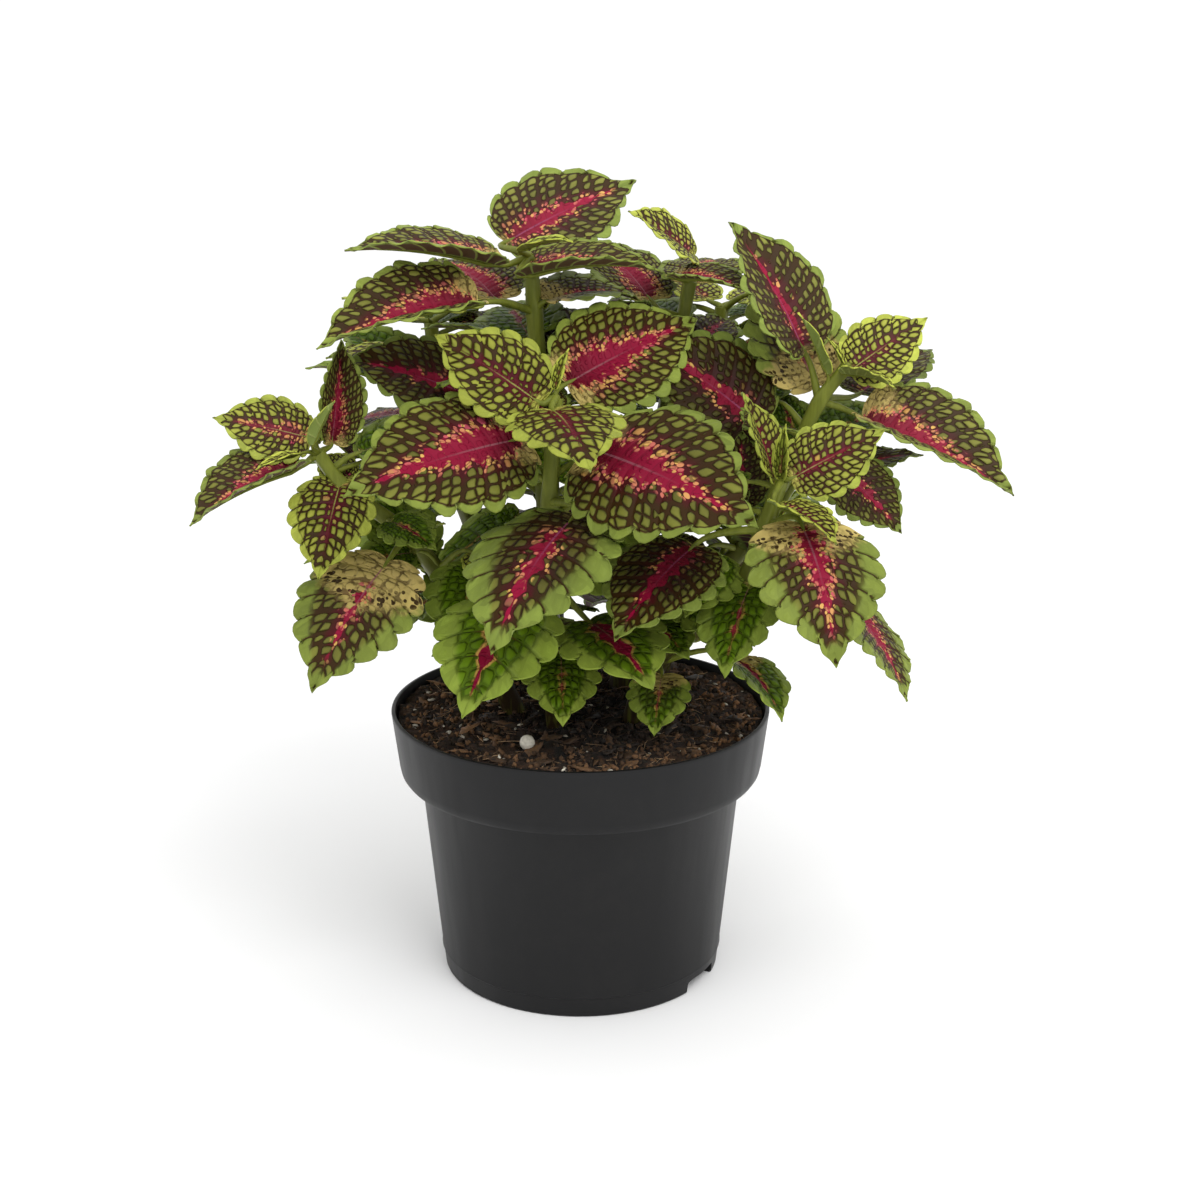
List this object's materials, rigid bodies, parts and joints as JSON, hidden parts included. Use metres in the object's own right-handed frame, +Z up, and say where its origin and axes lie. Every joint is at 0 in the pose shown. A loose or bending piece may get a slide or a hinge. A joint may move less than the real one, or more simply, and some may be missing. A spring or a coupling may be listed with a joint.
{
  "type": "coleus in a nursery pot",
  "caption": "Bushy coleus with square stems and opposite, scalloped, folded leaves, standing in a round tapered nursery pot filled with potting mix.",
  "frame": {"origin": "on the pot's axis, at the flat pad under it, level with the ring that it stands on", "axes": "+Z up along the pot's axis, -Y towards the front, +X to the right seen from the front"},
  "size_m": [0.2612, 0.2244, 0.2721],
  "materials": {
    "pot_plastic": "satin, dark anthracite",
    "potting_mix": "crumbly peat and bark",
    "white_bead": "matte",
    "foliage": "satin leaf, green with crimson middle"
  },
  "bodies": {
    "root": {"pot": "pot_plastic", "potting_mix": "potting_mix", "white_bead": "white_bead", "leafy_stem_top": "foliage", "leafy_stem_front": "foliage", "leafy_stem_left": "foliage", "leafy_stem_right": "foliage", "leafy_stem_side": "foliage", "leafy_stem_peak": "foliage", "leafy_stem_back": "foliage", "leafy_stem_rear": "foliage"}
  },
  "joints": []
}
